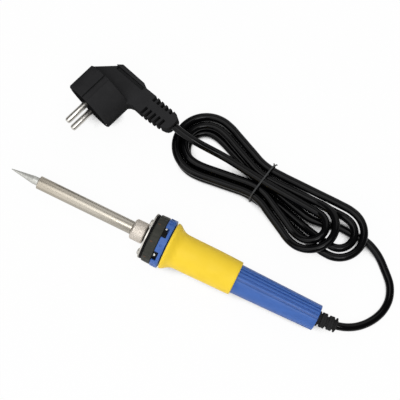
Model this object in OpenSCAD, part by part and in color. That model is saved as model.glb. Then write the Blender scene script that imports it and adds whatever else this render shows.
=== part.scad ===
// Soldering iron with a heat-setting dial, its tied cord and its mains plug.
// Millimetres, +Z up. The iron lies on the bench along X, tip towards -X, at rest on the
// dial end of its handle and on its tail. Stations s run along its axis from the tip's point.

/* [Tip and sleeve] */
// Length of the tip that shows in front of the sleeve
tip_len = 21.2; // [18:0.1:25]
// Radius of the tip where it enters the sleeve
tip_r = 2.9; // [2.3:0.05:2.95]
// Length of the sleeve in front of the nut
sleeve_len = 73; // [64:0.1:80]
// Outer radius of the sleeve
sleeve_r = 4.75; // [4.5:0.05:4.9]

/* [Nut and heater mount] */
// Length of the sleeve nut
nut_len = 9.8; // [8.5:0.1:10.2]
// Outer radius of the sleeve nut
nut_r = 7.55; // [6.9:0.05:7.8]
// Thread left bare behind the nut
thread_bare = 1.2; // [1:0.1:2.4]
// Thread pitch, also the sleeve's travel for one turn of the nut
thread_pitch = 1; // [0.8:0.1:1.2]
// Radius of the steel plate
plate_r = 16.8; // [15.8:0.1:17]
// Radius of the circle that the plate's screws lie on
screw_circle_r = 12.9; // [12.6:0.1:13]

/* [Dial] */
// Radius of the insulating disc in front of the dial
disc_r = 16.6; // [16.2:0.1:17.3]
// Outer radius of the dial ring
dial_r = 17.5; // [17.3:0.1:17.8]
// Length of the dial ring that shows
dial_len = 6.6; // [5.5:0.1:7]
// Finger flutes round the dial ring
dial_flutes = 20; // [12:1:28]

/* [Handle] */
// Radius of the windowed ring at the front of the handle
ring_r = 17.9; // [17.8:0.1:19]
// Length of that ring
ring_len = 5.4; // [5.2:0.1:6.5]
// Windows in the ring's front rim
window_count = 6; // [4:1:8]
// Radius of the tube under the grip
tube_r = 10.6; // [10.4:0.1:11]
// Length of the bare tail behind the grip
tail_len = 61.2; // [56:0.1:66]
// Radius at the end of the tail
tail_r = 9.3; // [9.2:0.05:9.8]
// Grooves in each of the tail's three groups
grooves = 4; // [3:1:5]

/* [Grip] */
// Length of the foam grip
grip_len = 52; // [50:0.5:58]
// Radius of the grip's front flare
flare_r = 17; // [16:0.1:17.6]
// Radius of the grip behind its flare
grip_r = 12.85; // [12.4:0.05:13.4]
// Radius of the grip at its rear end
grip_end_r = 12.2; // [11.9:0.1:12.4]

/* [Cord] */
// Diameter of the cord
cord_d = 5.7; // [5.4:0.1:5.8]
// Sideways step from one loop of the hank to the next
loop_pitch = 6.7; // [6.7:0.1:6.9]
// Height from one layer of the hank to the next
layer_step = 6.6; // [6.6:0.1:6.9]

/* [Plug] */
// Radius of the plug's round front
plug_r = 20.1; // [19.5:0.1:21]
// Depth of the plug's round front
plug_front = 21.5; // [18:0.5:22]
// Radius of a plug pin
pin_r = 2.4; // [2:0.1:2.4]
// Length of a plug pin in front of the face
pin_len = 19; // [18:0.5:20]
// Distance between the pins
pin_gap = 19; // [18:0.5:20]

/* [Hidden] */
$fn = 72;

// Stations along the iron's axis
s_sleeve = tip_len;
s_nut = s_sleeve + sleeve_len;
s_nut_end = s_nut + nut_len;
s_spigot = s_nut + 4.6;
s_plate = s_nut_end + thread_bare;
s_seat = s_plate + 0.5;
s_disc = s_plate + 1.5;
s_hub = s_disc + 1.5;
s_dial = s_hub + 0.4;
s_dial_end = s_dial + dial_len;
s_ring = s_dial_end + 0.3;
s_hub_end = s_ring + 2.1;
s_floor = s_ring + 4.4;
s_ring_end = s_ring + ring_len;
s_grip = s_ring_end + 0.9;
s_grip_end = s_grip + grip_len;
s_tail = s_grip_end + 0.4;
s_tail_end = s_tail + tail_len;
boot_len = 14.6;
boot_turn = 4.5;
s_cord_in = s_tail_end - 20;

// Radii inside the handle and the dial
hub_r = 14.9;
dial_bore_r = 15.2;
skirt_r = 16.4;
ring_bore_r = 16.8;
tube_bore_r = 8.7;
tail_bore_r = 7.6;
boot_r = 5.5;
cord_r = cord_d / 2;
cord_bore_r = cord_r + 0.1;
rod_r = 1.9;
tail_front_r = tube_r - 0.1;

// How the iron lies: the ring's rear edge and the tail's end both touch the bench
ring_touch = s_ring_end - 0.4;
tail_touch = s_tail_end - 0.3;
tilt = atan((ring_r - tail_r) / (tail_touch - ring_touch));
lay_z = ring_touch * sin(tilt) + ring_r * cos(tilt);
lay_x = -(s_tail_end * cos(tilt) + (tail_r - 0.3) * sin(tilt)) / 2;
function on_iron(s, y) = [lay_x + s * cos(tilt), y, lay_z - s * sin(tilt)];
function on_boot(l) = on_iron(s_tail_end + l * cos(boot_turn), l * sin(boot_turn));

// Where the cord leaves the boot, and where the hank and the plug lie from there
exit = on_boot(boot_len);
hank_at = [exit.x - 90.15, 70.1];
hank_turn = -8;
guide_half = 2.5;
// The plug leans on the front rim of its round part, as the lead bears up its neck
plug_turn = -22.7;
plug_lean = 6;
plug_flat = sqrt(plug_r * plug_r - guide_half * guide_half);
plug_at = [exit.x - 223.5, 66.9, plug_flat * cos(plug_lean) + 0.01];
disc_turn = 2.2;

// Hank: four loops spiral out in the lower layer and in again in the upper one
loops = 4;
loop_start = 0.6;
loop_turn_back = 2;
left_lobe = 47.5;
right_lobe = 65;
right_top_lobe = 46;
left_flare = 10;
left_top_flare = 10.5;
right_flare = 5;
right_top_flare = 9.5;
low_shift = 2;
right_top_shift = -6;
low_z = cord_r + 0.75;
top_z = low_z + layer_step;
hank_tail_p = 78;
hank_tail_q = 7.1;
hank_lead_p = -20;
hank_lead_q = 1.6;
hank_lead_z = top_z + 4.2;

// Eased step from 0 to 1, straight in its middle
function ease(u) =
    let(v = min(max(u, 0), 1))
    v < 0.2 ? v * v / 0.32 : v > 0.8 ? 1 - (1 - v) * (1 - v) / 0.32 : (v - 0.1) / 0.8;
function over_tail(p) = ease((p - 36) / 32);
// Whole numbers of t are loops: a run, the left turn, the run back and the right turn
function half_width(t) =
    loop_start + loop_pitch * (t < loop_turn_back ? t : 2 * loop_turn_back - t);
function right_p(t) = t < 2.3 ? right_lobe : right_top_lobe;
function right_q(t) = t < 2.3 ? 0 : right_top_shift;
function right_f(t) = t < 2.3 ? right_flare : right_top_flare;
function left_f(t) = t < loop_turn_back ? left_flare : left_top_flare;
// The lower layer lies to one side at the waist, under the gaps of the upper one
function waist_q(t) = t < loop_turn_back ? low_shift : 0;
// The first run dips under the upper layer's turns, then rises to the tail
function first_q(p) = 8.7 * ease((p - 44) / 30) - 3.1 * ease((p - 4) / 38);
function right_run_q(t, p, side) = t < 0.25 ? first_q(p)
    : (side * right_f(t) + right_q(t)) * ease(p / right_p(t)) - waist_q(t) * ease((p - 25) / 40);
function left_run_q(t, p, side) =
    (side * left_f(t) + low_shift - waist_q(t)) * ease(-p / left_lobe);
function run_q(t, p, side) = side * half_width(t) + waist_q(t)
    + (p > 0 ? right_run_q(t, p, side) : left_run_q(t, p, side));
function run_p(t, v) = v < 0.5 ? right_p(t) * (1 - 2 * v) : left_lobe * (1 - 2 * v);
function loop_z(t, p) = t < 0.5 ? low_z
    : t < 2 ? low_z + layer_step * over_tail(p)
    : t < 2.5 ? top_z
    : top_z + layer_step * over_tail(p);
function loop_plan(t) =
    let(u = t - floor(t))
    u < 0.25 ? let(p = run_p(t, 4 * u)) [p, run_q(t, p, 1)]
    : u < 0.5 ? let(a = 90 + 180 * (4 * u - 1), r = left_f(t) + half_width(t))
        [-left_lobe + r * cos(a), low_shift + r * sin(a)]
    : u < 0.75 ? let(p = run_p(t, 3 - 4 * u)) [p, run_q(t, p, -1)]
    : let(a = -90 + 180 * (4 * u - 3), r = right_f(t) + half_width(t))
        [right_p(t) + r * cos(a), right_q(t) + r * sin(a)];
function loop_point(t) = let(v = loop_plan(t)) [v.x, v.y, loop_z(t, v.x)];
loops_end = loops - 0.000001;
last_point = loop_point(loops_end);
function lead_on_top(p) =
    let(e = ease(1 - p / right_top_lobe))
    [p, last_point.y + (hank_lead_q - last_point.y) * e,
        last_point.z + (hank_lead_z - last_point.z) * e];
// The cord's way out of the hank, under the loops, at a slant to them
function off_hank(l) =
    [hank_tail_p + l, hank_tail_q + 0.09 * l, low_z];
// The hank's own points, with so many steps to a loop
function hank_points(steps) = concat(
    [off_hank(0), off_hank(-cord_d)],
    [for (i = [0 : loops * steps]) loop_point(min(i / steps, loops_end))],
    [for (p = [37, 28, 19, 10, 0, hank_lead_p + cord_d, hank_lead_p]) lead_on_top(p)]
);
function from_hank(v) = [
    hank_at.x + v.x * cos(hank_turn) - v.y * sin(hank_turn),
    hank_at.y + v.x * sin(hank_turn) + v.y * cos(hank_turn),
    v.z
];
function from_plug(v) =
    let(y = v.y * cos(plug_lean) - v.z * sin(plug_lean))
    [
        plug_at.x + v.x * cos(plug_turn) - y * sin(plug_turn),
        plug_at.y + v.x * sin(plug_turn) + y * cos(plug_turn),
        plug_at.z + v.y * sin(plug_lean) + v.z * cos(plug_lean)
    ];

// Least gap of the hank to itself, between points that lie well apart along it
gap_points = hank_points(96);
gap_skip = 13;
hank_gap = min([
    for (i = [0 : len(gap_points) - gap_skip - 1])
        min([for (j = [i + gap_skip : len(gap_points) - 1]) norm(gap_points[i] - gap_points[j])])
]) - cord_d;
echo(str("least gap of the hank to itself: ", hank_gap, " mm"));

// Where the cord comes out of the plug's strain relief, at a slant to the plug
relief_turn = 8;
relief_end = [52.8, 34.7];
function off_relief(l) = from_plug([
    relief_end.x + l * cos(relief_turn),
    relief_end.y + l * sin(relief_turn),
    0
]);

// Free stretches of the cord, as points on the way
tail_points = concat(
    [on_iron(s_cord_in, 0), on_boot(0), on_boot(boot_len)],
    [for (v = [[5.2, 1.6, -0.8], [12.7, 6, -2.5], [20.5, 14.6, -4], [24.9, 24.5, -4.9],
        [25.5, 33.3, -5.2], [22.6, 42.3, -5.2], [14.6, 51.7, -5.2], [4.7, 60.3, -5]]) exit + v],
    [from_hank(off_hank(cord_d)), from_hank(off_hank(0))]
);
lead_from = from_hank(lead_on_top(hank_lead_p - cord_d));
lead_to = off_relief(cord_d);
lead_span = norm(lead_to - lead_from) / cord_d;
lead_start = (lead_from - from_hank(lead_on_top(hank_lead_p))) * lead_span;
lead_stop = (off_relief(0) - lead_to) * lead_span;
// A cubic from one straight end of the lead to the other
function lead_curve(u) =
    (2 * u * u * u - 3 * u * u + 1) * lead_from + (u * u * u - 2 * u * u + u) * lead_start
    + (3 * u * u - 2 * u * u * u) * lead_to + (u * u * u - u * u) * lead_stop;
lead_points = concat(
    [from_hank(lead_on_top(hank_lead_p))],
    [for (i = [0 : 8]) lead_curve(i / 8)],
    [off_relief(0)]
);

// Sweeps a tube of flat sides along a list of points
function unit(v) = v / norm(v);
function along(p, i) = unit(p[min(i + 1, len(p) - 1)] - p[max(i - 1, 0)]);
function ring_at(c, d, r, sides) =
    let(side = unit(cross(d, [0, 0, 1])), up = cross(side, d))
    [for (k = [0 : sides - 1]) c + r * (cos(360 * k / sides) * side + sin(360 * k / sides) * up)];
module swept(points, r, sides) {
    n = len(points);
    corners = [for (i = [0 : n - 1]) each ring_at(points[i], along(points, i), r, sides)];
    walls = [for (i = [0 : n - 2], k = [0 : sides - 1])
        let(a = i * sides + k, b = i * sides + (k + 1) % sides)
        each [[a, a + sides, b], [b, a + sides, b + sides]]];
    front = [for (k = [1 : sides - 2]) [0, k, k + 1]];
    back_at = (n - 1) * sides;
    back = [for (k = [1 : sides - 2]) [back_at, back_at + k + 1, back_at + k]];
    polyhedron(points = corners, faces = concat(walls, front, back), convexity = 10);
}

// Turns a half outline of [radius, station] pairs about the iron's axis
module turned(outline) {
    rotate([0, 90, 0]) rotate_extrude() polygon(outline);
}
// A round bar along the iron's axis
module bar(r, s1, s2) {
    translate([s1, 0, 0]) rotate([0, 90, 0]) cylinder(r = r, h = s2 - s1);
}
// A straight wire between two points
module wire(a, b, r) {
    d = b - a;
    translate(a)
        rotate([0, acos(d.z / norm(d)), atan2(d.y, d.x)]) cylinder(r = r, h = norm(d), $fn = 16);
}
// Repeats a piece on the three plate screws
module at_screws() {
    for (a = [-32.5, 87.5, 207.5]) rotate([a, 0, 0]) translate([0, 0, screw_circle_r]) children();
}
// Lays the iron's pieces on the bench
module laid() {
    translate([lay_x, 0, lay_z]) rotate([0, tilt, 0]) children();
}
module in_hank() {
    translate([hank_at.x, hank_at.y, 0]) rotate([0, 0, hank_turn]) children();
}
module in_plug() {
    translate(plug_at) rotate([0, 0, plug_turn]) rotate([plug_lean, 0, 0]) children();
}
// Turns the plug's round front and all that it holds, against the neck
module in_disc() {
    translate([plug_r, 0, 0]) rotate([0, 0, disc_turn]) translate([-plug_r, 0, 0]) children();
}

// Plated bit: needle cone, shank through the sleeve's mouth, hollow barrel over the heater
module tip() {
    color("lightsteelblue") laid() difference() {
        turned([
            [0, 0], [0.25, 0.1], [0.4, 0.6], [tip_r, s_sleeve - 4], [tip_r, s_sleeve + 1.5],
            [3.85, s_sleeve + 1.5], [3.85, s_nut - 2], [0, s_nut - 2]
        ]);
        bar(rod_r + 0.3, s_sleeve + 12, s_nut);
    }
}

// Steel tube: mouth lip that holds the tip back, flange that the nut pulls on
module tip_sleeve() {
    color("silver") laid() turned([
        [3.1, s_sleeve], [sleeve_r - 0.3, s_sleeve], [sleeve_r, s_sleeve + 0.3],
        [sleeve_r, s_nut - 0.3], [sleeve_r - 0.3, s_nut - 0.3], [sleeve_r - 0.3, s_nut + 2.7],
        [5.7, s_nut + 2.7], [5.7, s_nut + 4.3], [3.9, s_nut + 4.3],
        [3.9, s_sleeve + 1.5], [3.1, s_sleeve + 1.5]
    ]);
}

// Ring nut: rounded front, knurled band between two smooth rims
module sleeve_nut() {
    color("lightgray") laid() difference() {
        turned([
            [sleeve_r + 0.3, s_nut], [nut_r - 1.3, s_nut], [nut_r - 0.5, s_nut + 0.4],
            [nut_r, s_nut + 1.1], [nut_r, s_nut_end - 0.4], [nut_r - 0.4, s_nut_end],
            [6.1, s_nut_end], [6.1, s_nut + 2.4], [sleeve_r + 0.3, s_nut + 2.4]
        ]);
        for (i = [0 : 47]) rotate([i * 7.5, 0, 0])
            translate([s_nut + 1.7, -0.16, nut_r - 0.22]) cube([nut_len - 2.7, 0.32, 1]);
    }
}

// Thin steel plate with a boss and a threaded spigot for the nut
module heater_mount() {
    turns = floor((s_plate - s_spigot - 0.6) / thread_pitch);
    thread = [for (i = [0 : turns - 1])
        let(s = s_spigot + 0.4 + i * thread_pitch)
        each [[5.3, s], [5.7, s + 0.3 * thread_pitch], [5.7, s + 0.5 * thread_pitch],
            [5.3, s + 0.8 * thread_pitch]]];
    color("gainsboro") laid() difference() {
        turned(concat(
            [[rod_r + 0.4, s_spigot], [5.3, s_spigot]], thread,
            [[5.3, s_plate], [8.4, s_plate], [8.6, s_plate + 0.2], [8.6, s_seat],
                [plate_r - 0.2, s_seat], [plate_r, s_seat + 0.2], [plate_r, s_disc],
                [rod_r + 0.4, s_disc]]
        ));
        at_screws() bar(1.4, s_plate - 1, s_disc + 1);
    }
}

// Three pan-head screws that hold the front pieces to the handle
module flange_screws() {
    color("whitesmoke") laid() at_screws() difference() {
        turned([
            [0, s_seat - 1.6], [1.7, s_seat - 1.5], [2.3, s_seat - 1], [2.5, s_seat],
            [1.25, s_seat], [1.25, s_floor - 1], [0, s_floor - 0.4]
        ]);
        for (a = [0, 90]) rotate([a, 0, 0])
            translate([s_seat - 2.2, -0.25, -1.4]) cube([1.3, 0.5, 2.8]);
    }
}

// Thin black disc between the hot plate and the dial
module insulating_disc() {
    color("black") laid() difference() {
        turned([
            [4.4, s_disc], [disc_r - 0.3, s_disc], [disc_r, s_disc + 0.3],
            [disc_r, s_hub - 0.2], [disc_r - 0.2, s_hub], [4.4, s_hub]
        ]);
        at_screws() bar(1.4, s_disc - 1, s_hub + 1);
        translate([0, 0, -6]) bar(1.1, s_disc - 1, s_hub + 1);
    }
}

// Ceramic heater with a collar clamped between plate and hub
module heater_rod() {
    color("ivory") laid() turned([
        [0, s_sleeve + 14], [rod_r - 0.4, s_sleeve + 14], [rod_r, s_sleeve + 14.4],
        [rod_r, s_disc + 0.05], [4.2, s_disc + 0.05], [4.2, s_hub - 0.05],
        [rod_r, s_hub - 0.05], [rod_r, s_hub_end], [0, s_hub_end]
    ]);
}

module heater_leads() {
    color("white") laid() for (side = [-1, 1])
        wire([s_hub_end + 0.05, side, 0], [s_floor + 10, side * 3, -0.55], 0.5);
}

// Collar turned by hand, with finger flutes and a skirt that shows in the ring's windows
module dial_ring() {
    color("dimgray") laid() difference() {
        turned([
            [dial_bore_r, s_dial], [dial_r - 0.6, s_dial], [dial_r - 0.2, s_dial + 0.5],
            [dial_r, s_dial_end - 0.6], [dial_r - 0.3, s_dial_end], [skirt_r, s_dial_end],
            [skirt_r, s_dial_end + 2.2], [dial_bore_r, s_dial_end + 2.2]
        ]);
        for (i = [0 : dial_flutes - 1]) rotate([(i + 0.5) * 360 / dial_flutes, 0, 0])
            translate([s_dial - 1, 0, dial_r + 0.9]) rotate([0, 90, 0])
                cylinder(r = 1.15, h = dial_len - 0.4, $fn = 24);
    }
}

// Spring finger on the skirt, over the track
module dial_wiper() {
    color("gold") laid() rotate([199, 0, 0])
        translate([s_dial_end + 2.2, -2.4, 15.35]) cube([0.85, 4.8, 0.85]);
}

// Bearing for the dial ring, clamped by the three screws
module dial_hub() {
    color("darkslategray") laid() difference() {
        turned([
            [rod_r + 0.4, s_hub], [hub_r, s_hub], [hub_r, s_hub_end], [7.6, s_hub_end],
            [7.6, s_hub + 2], [rod_r + 0.4, s_hub + 2]
        ]);
        at_screws() bar(1.4, s_hub - 1, s_hub_end + 1);
        translate([0, 0, -6]) bar(1.1, s_hub - 1, s_hub_end + 1);
    }
}

// Ring-shaped board that carries the resistance track, notched for the screws
module track_board() {
    color("saddlebrown") laid() difference() {
        turned([
            [13.2, s_floor - 1.4], [16.5, s_floor - 1.4], [16.5, s_floor], [13.2, s_floor]
        ]);
        at_screws() bar(2.5, s_floor - 2, s_floor + 1);
    }
}

module track_leads() {
    color("orange") laid() for (side = [-3, 3]) {
        wire([s_floor - 0.6, side, 12.6], [s_floor - 0.6, side, 7.4], 0.5);
        translate([s_floor - 0.6, side, 7.4]) sphere(r = 0.55, $fn = 16);
        wire([s_floor - 0.6, side, 7.4], [s_floor + 10, side * 1.6, -0.55], 0.5);
    }
}

// Blue shell: windowed ring, tube under the grip, grooved tail with the boot's hole
module handle_shell() {
    wall_turn = atan((tail_front_r - tail_r) / tail_len);
    color("steelblue") laid() difference() {
        union() {
            turned([
                [ring_bore_r, s_ring], [ring_r - 0.3, s_ring], [ring_r, s_ring + 0.3],
                [ring_r, ring_touch], [ring_r - 0.4, s_ring_end], [tube_r, s_ring_end],
                [tube_r, s_tail], [tail_front_r, s_tail], [tail_r, tail_touch],
                [tail_r - 0.3, s_tail_end], [boot_r + 0.35, s_tail_end],
                [boot_r + 0.35, s_tail_end - 3.3], [tail_bore_r, s_tail_end - 3.3],
                [tail_bore_r, s_tail_end - 36], [tube_bore_r, s_tail_end - 38],
                [tube_bore_r, s_floor], [ring_bore_r, s_floor]
            ]);
            at_screws() bar(2.2, s_hub_end, s_floor + 0.2);
        }
        at_screws() bar(1.3, s_hub_end - 1, s_floor - 0.2);
        for (i = [0 : window_count - 1]) rotate([-11 + i * 360 / window_count, 0, 0])
            translate([s_ring - 1, -3.8, 15]) cube([4.3, 7.6, 8]);
        for (i = [0 : window_count - 1]) rotate([20 + i * 360 / window_count, 0, 0])
            translate([s_ring + 2.2, 0, ring_r - 0.5]) cylinder(r = 0.7, h = 2, $fn = 24);
        for (g = [0 : 2], i = [0 : grooves - 1])
            rotate([120 * g - 10.5 + (i - (grooves - 1) / 2) * 15.2, 0, 0])
                translate([s_tail, 0, tail_front_r]) rotate([0, wall_turn, 0])
                    translate([-3, -0.55, -0.8]) cube([tail_len + 6, 1.1, 3]);
    }
}

// Foam sleeve: flared stop in front, slight taper behind
module foam_grip() {
    waist = flare_r - grip_r;
    color("gold") laid() turned([
        [tube_r + 0.1, s_grip], [flare_r - 0.2, s_grip], [flare_r, s_grip + 0.3],
        [flare_r, s_grip + 1.3], [flare_r - 0.1 * waist, s_grip + 2.3],
        [flare_r - 0.24 * waist, s_grip + 3.2], [flare_r - 0.43 * waist, s_grip + 4.2],
        [flare_r - 0.61 * waist, s_grip + 5.2], [flare_r - 0.76 * waist, s_grip + 6.2],
        [flare_r - 0.87 * waist, s_grip + 7.2], [flare_r - 0.94 * waist, s_grip + 8.2],
        [flare_r - 0.98 * waist, s_grip + 9.4], [grip_r, s_grip + 11.7],
        [grip_end_r, s_grip_end - 1.2],
        [grip_end_r - 0.5, s_grip_end - 0.3], [grip_end_r - 1.1, s_grip_end],
        [tube_r + 0.1, s_grip_end]
    ]);
}

module control_board() {
    color("seagreen") laid() translate([s_floor + 6, -8.1, -2.8]) cube([64, 16.2, 1.6]);
}

module triac() {
    color("black") laid() {
        translate([s_floor + 18, -5, -1.1]) cube([10, 4.2, 7]);
        for (i = [0 : 2]) translate([s_floor + 20.2 + 2.5 * i, -3.2, -1.2]) cube([0.7, 0.6, 0.2]);
    }
}

module film_capacitor() {
    color("firebrick") laid() translate([s_floor + 33, -2.7, -1.2]) cube([13, 5.4, 7.4]);
}

module resistor() {
    color("tan") laid() translate([s_floor + 52, 3, 0.7]) {
        rotate([0, 90, 0]) cylinder(r = 1.4, h = 7, $fn = 32);
        translate([-3, 0, 0]) rotate([0, 90, 0]) cylinder(r = 0.35, h = 13, $fn = 16);
        for (x = [-3, 10]) translate([x, 0, -1.9]) cylinder(r = 0.35, h = 2.25, $fn = 16);
    }
}

module live_wire() {
    color("sienna") laid()
        wire([s_cord_in - 0.05, 1.3, 0.9], [s_floor + 65, 5, -0.25], 0.8);
}

module neutral_wire() {
    color("royalblue") laid()
        wire([s_cord_in - 0.05, -1.3, 0.9], [s_floor + 65, -5, -0.25], 0.8);
}

// Runs under the board to the back of the steel plate
module earth_wire() {
    bend = [s_tail_end - 40, 0, -5.6];
    foot = [s_floor + 4, 0, -6];
    color("yellowgreen") laid() {
        wire([s_cord_in - 0.05, 0, -1.6], bend, 0.8);
        translate(bend) sphere(r = 0.9, $fn = 24);
        wire(bend, foot, 0.8);
        translate(foot) sphere(r = 0.9, $fn = 24);
        wire(foot, [s_disc + 0.05, 0, -6], 0.8);
    }
}

// Clamp round the cord inside the tail
module cord_anchor() {
    color("white") laid() difference() {
        union() {
            bar(5, s_cord_in + 6, s_cord_in + 9);
            translate([s_cord_in + 6, -2, 3]) cube([3, 4, 4]);
        }
        bar(cord_bore_r, s_cord_in + 5, s_cord_in + 10);
    }
}

// A rib round the boot, with a shallow notch in its middle
function rib(s, l, r) = [
    [3.8, s], [r - 0.2, s + 0.1], [r, s + 0.4], [r, s + l / 2 - 0.3], [r - 0.3, s + l / 2],
    [r, s + l / 2 + 0.3], [r, s + l - 0.4], [r - 0.2, s + l - 0.1], [3.8, s + l]
];
// Rubber strain relief: flange inside the tail, ribs outside, drawn aside by the cord
module cord_boot() {
    color("black") laid() translate([s_tail_end, 0, 0]) difference() {
        union() {
            turned([
                [0, -6], [7.3, -6], [7.3, -3.4], [boot_r, -3.4], [boot_r, 1.3],
                [boot_r - 0.3, 1.6], [0, 1.6]
            ]);
            rotate([0, 0, boot_turn]) turned(concat(
                [[0, 0], [4.1, 0], [4.1, 2.6]], rib(2.7, 3.8, 5.4), rib(8, 3.7, 5.15),
                [[3.8, 12.8], [5, 12.9], [5.2, 13.2], [5.2, 13.8], [5, 14], [3.7, 14.1],
                    [3.6, boot_len], [0, boot_len]]
            ));
        }
        bar(cord_bore_r + 0.4, -7, 1.2);
        rotate([0, 0, boot_turn]) bar(cord_bore_r, 0.6, boot_len + 1);
    }
}

module cord_tail() {
    color("black") swept(tail_points, cord_r, 8);
}

module cord_hank() {
    color("black") in_hank() swept(hank_points(24), cord_r, 6);
}

module cord_lead() {
    color("black") swept(lead_points, cord_r, 8);
}

// Twist tie round the hank's waist, its two ends twisted together
module round_box(x1, x2, y1, y2, r) {
    translate([x1 + r, y1]) square([x2 - x1 - 2 * r, y2 - y1]);
    translate([x1, y1 + r]) square([x2 - x1, y2 - y1 - 2 * r]);
    for (x = [x1 + r, x2 - r], y = [y1 + r, y2 - r]) translate([x, y]) circle(r = r);
}
module tie_outline(grow) {
    low = -half_width(2.625) - cord_r - 0.3;
    high = half_width(2.125) + cord_r + 0.3;
    round_box(low - grow, high + grow, 0.6 - grow, 10, 2.8 + grow);
    round_box(low - grow, high + grow, 3, hank_lead_z + cord_r + 0.3 + grow, 6.8 + grow);
}
module cord_tie() {
    high = half_width(2.125) + cord_r + 0.3;
    color("black") in_hank() {
        translate([-0.7, 0, 0]) rotate([90, 0, 90]) linear_extrude(1.4) difference() {
            tie_outline(0.6);
            tie_outline(0);
        }
        wire([0.5, high + 0.2, 9], [1.6, high + 3, 8.2], 0.6);
        wire([-0.5, high + 0.2, 7.6], [-1.2, high + 2.6, 6.6], 0.6);
    }
}

// Round front of the plug, with flat panels beside a guide groove above and below
panel_edge = 26;
module plug_disc() {
    guide_edge = asin(guide_half / plug_r);
    panel_at = (panel_edge + guide_edge) / 2;
    panel_r = plug_r * cos((panel_edge - guide_edge) / 2);
    difference() {
        rotate([-90, 0, 0]) rotate_extrude() polygon([
            [0, 0], [plug_r - 0.8, 0], [plug_r, 0.8], [plug_r, plug_front],
            [plug_r - 0.5, plug_front + 0.5], [13, plug_front + 1.8], [0, plug_front + 2]
        ]);
        rotate([-90, 0, 0]) translate([0, 0, -1]) cylinder(r = 16.5, h = 8);
        for (half = [0, 180]) rotate([0, half, 0]) {
            for (side = [-1, 1]) rotate([0, side * panel_at, 0])
                translate([-9, -1, panel_r]) cube([18, plug_front + 8, 4]);
            translate([-guide_half, -1, plug_r - 2.4])
                cube([2 * guide_half, plug_front + 8, 4]);
        }
        for (side = [-1, 1])
            translate([side * plug_r - 2.6, -1, -2.1]) cube([5.2, 13, 4.2]);
    }
}
// Flat neck behind it, notched from both sides into a strain relief, with a finger lip
neck_half = 6.5;
lip_half = 7.6;
module plug_neck() {
    linear_extrude(2 * neck_half, center = true) difference() {
        polygon([
            [-14, 12], [-19, 20.3], [-7.4, 33.4], [-6, 35], [18.8, 38], [28.7, 39.3],
            [43.5, 40.8], [46.3, 41.2], [48.9, 41.1], [51, 40.2], [52.3, 38.6],
            relief_end, [52.7, 30.9], [51.8, 29.2], [50.2, 28], [45.6, 26.2], [38.4, 24.5],
            [30.7, 23.1], [25.6, 22.8], [22.5, 22.5], [19.8, 21.2], [18, 19], [14, 12]
        ]);
        for (i = [0 : 4]) {
            translate([29.2 + 3.75 * i, 35.2 + 0.6 * i]) square([2.1, 8]);
            translate([30 + 3.8 * i, 15 + 0.7 * i]) square([2.1, 14.2]);
        }
    }
    linear_extrude(2 * lip_half, center = true)
        polygon([[-7.6, 34.2], [19.6, 37.3], [19.4, 38.4], [16.4, 39.4], [-4.3, 37.5]]);
}
module plug_body() {
    color("black") in_plug() difference() {
        union() {
            in_disc() plug_disc();
            difference() {
                plug_neck();
                in_disc() rotate([-90, 0, 0]) cylinder(r = plug_r, h = plug_front - 0.5);
            }
        }
        for (side = [-1, 1]) translate([-5.8, 31.9, side * (neck_half + 2)])
            rotate([0, 0, 6.5]) translate([0, 0, -4.6]) cube([24.8, 2.5, 9.2]);
    }
}

// Insert that holds the pins
module pin_carrier() {
    color("darkgray") in_plug() in_disc() difference() {
        rotate([-90, 0, 0]) cylinder(r = 16.45, h = 6.95);
        for (side = [-1, 1]) translate([0, -1, side * pin_gap / 2])
            rotate([-90, 0, 0]) cylinder(r = pin_r - 0.38, h = 9);
    }
}

module plug_pins() {
    color("silver") in_plug() in_disc() for (side = [-1, 1])
        translate([0, -pin_len, side * pin_gap / 2]) rotate([-90, 0, 0]) rotate_extrude($fn = 48) polygon([
            [0, 0], [pin_r * 0.6, 0.1], [pin_r * 0.88, 0.7], [pin_r, 1.8],
            [pin_r, pin_len - 0.3], [pin_r - 0.4, pin_len - 0.3],
            [pin_r - 0.4, pin_len + 6], [0, pin_len + 6]
        ]);
}

// Side contacts let into the plug's rim
module earth_strips() {
    color("silver") in_plug() in_disc() for (side = [-1, 1])
        translate([side * (plug_r - 2) - 0.5, 0.2, -2]) cube([1, 11.6, 4]);
}

tip();
tip_sleeve();
sleeve_nut();
heater_mount();
flange_screws();
insulating_disc();
heater_rod();
heater_leads();
dial_ring();
dial_wiper();
dial_hub();
track_board();
track_leads();
handle_shell();
foam_grip();
control_board();
triac();
film_capacitor();
resistor();
live_wire();
neutral_wire();
earth_wire();
cord_anchor();
cord_boot();
cord_tail();
cord_hank();
cord_lead();
cord_tie();
plug_body();
pin_carrier();
plug_pins();
earth_strips();
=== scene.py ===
"""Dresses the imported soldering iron, its tied mains cord and its plug.

The frame's solids give every place. Here they get their finishes, and the grip, the cord, its
tie, the sleeve nut and the dial ring get fuller surfaces, worked out with numpy.
"""
import logging
from dataclasses import dataclass
from enum import Enum
from typing import Any, Sequence

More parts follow.
